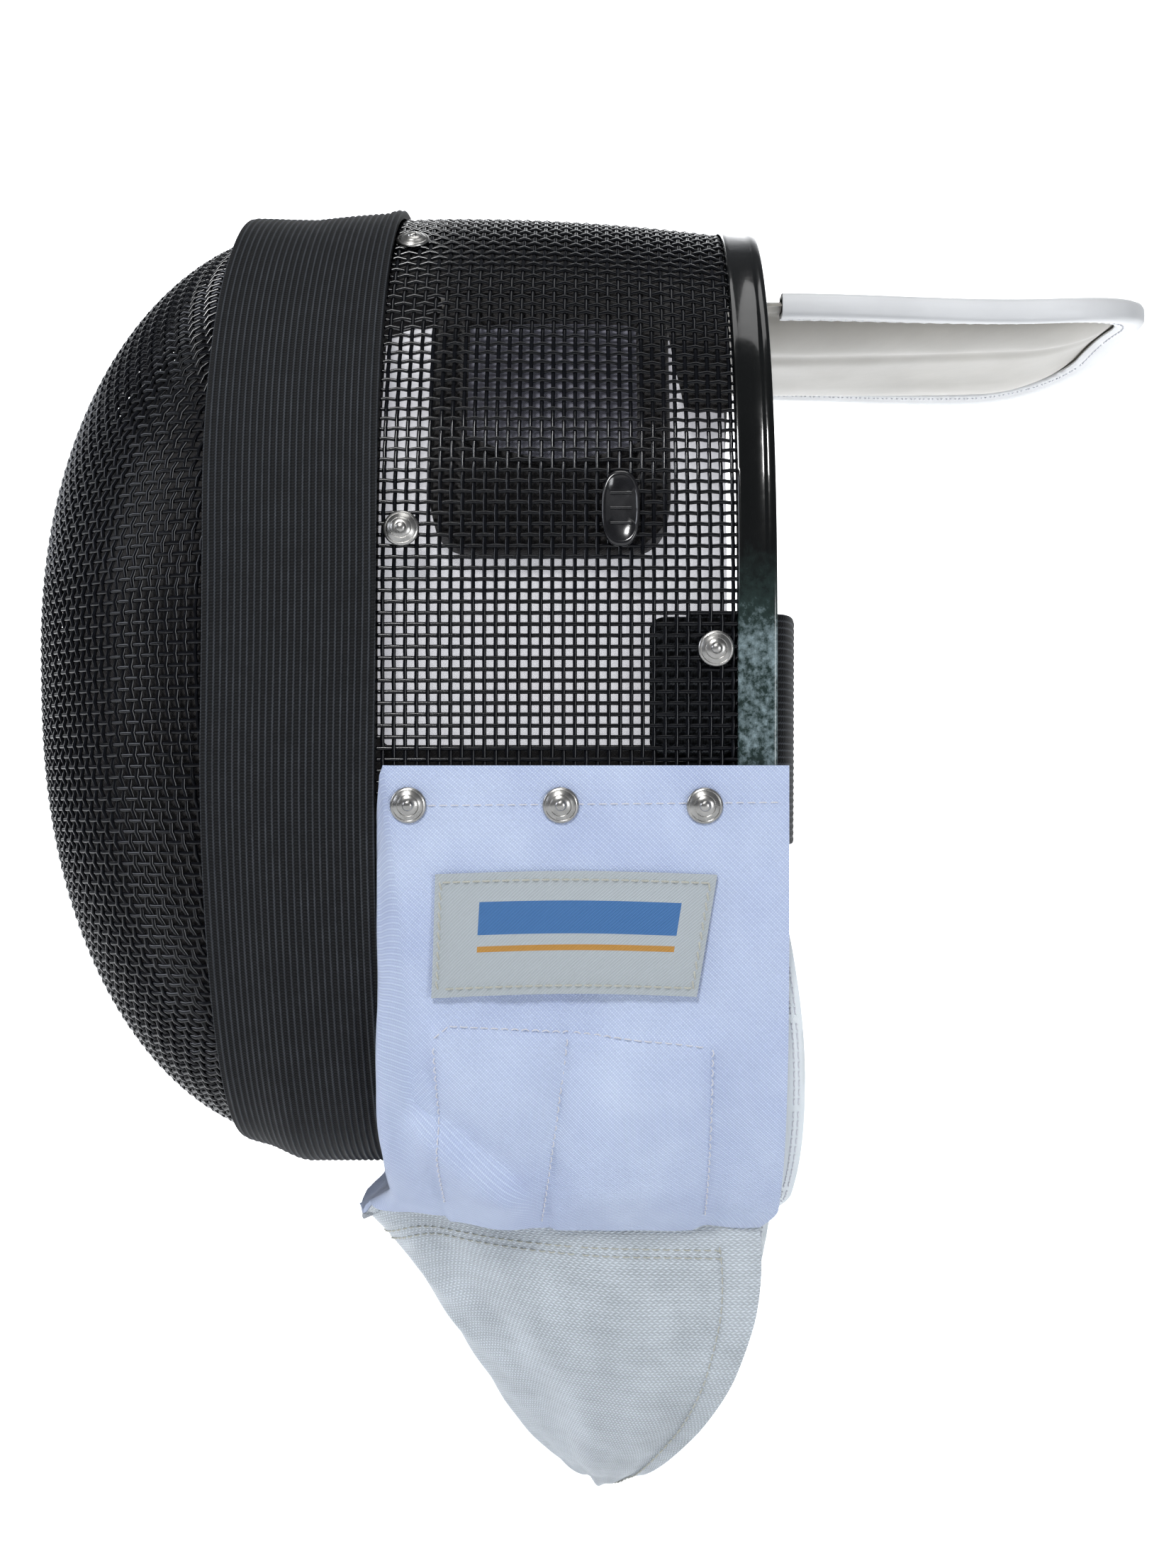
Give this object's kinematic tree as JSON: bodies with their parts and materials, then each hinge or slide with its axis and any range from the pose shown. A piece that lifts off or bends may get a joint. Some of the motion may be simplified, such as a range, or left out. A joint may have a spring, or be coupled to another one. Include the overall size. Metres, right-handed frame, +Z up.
{
  "type": "fencing mask",
  "caption": "Fencing mask with a domed woven-wire face, wrapped side mesh, elastic band, cloth bib with silver apron, and padded rear tongue.",
  "frame": {"origin": "the place on the underside of the padded tongue where the crown of the wearer's head sits", "axes": "+Z up through the crown, -Y the way the face looks, +X the wearer's left"},
  "size_m": [0.2034, 0.3541, 0.4151],
  "materials": {
    "mesh_wire": "woven steel wire under glossy black coating",
    "rim_metal": "folded steel strip, high-gloss black",
    "elastic": "ribbed black elastic webbing",
    "collar_cloth": "white twill with a lavender cast",
    "apron_cloth": "silver-grey conductive knit",
    "inner_cloth": "smooth white cloth",
    "lining_cloth": "white padded lining cloth",
    "pad_cloth": "black brushed padding",
    "label_cloth": "light grey woven satin",
    "tag_plastic": "moulded gloss black",
    "tongue_vinyl": "white coated cloth, soft sheen",
    "rivet_metal": "bright nickel-plated steel"
  },
  "bodies": {
    "root": {"front_mesh": "mesh_wire", "side_mesh": "mesh_wire", "rim": "rim_metal", "elastic_band": "elastic", "rear_strap": "elastic", "bib_collar": "collar_cloth", "bib_apron": "apron_cloth", "woven_label": "label_cloth", "size_tag": "tag_plastic", "tongue_pad": "tongue_vinyl", "tongue_binding": "tongue_vinyl", "inner_bib_left": "inner_cloth", "side_lining_left": "lining_cloth", "temple_pad_left": "pad_cloth", "strap_tab_left": "elastic", "collar_rivet_front_left": "rivet_metal", "collar_rivet_middle_left": "rivet_metal", "collar_rivet_rear_left": "rivet_metal", "mesh_rivet_left": "rivet_metal", "tab_rivet_left": "rivet_metal", "crown_rivet_left": "rivet_metal", "inner_bib_right": "inner_cloth", "side_lining_right": "lining_cloth", "temple_pad_right": "pad_cloth", "strap_tab_right": "elastic", "collar_rivet_front_right": "rivet_metal", "collar_rivet_middle_right": "rivet_metal", "collar_rivet_rear_right": "rivet_metal", "mesh_rivet_right": "rivet_metal", "tab_rivet_right": "rivet_metal", "crown_rivet_right": "rivet_metal"}
  },
  "joints": []
}
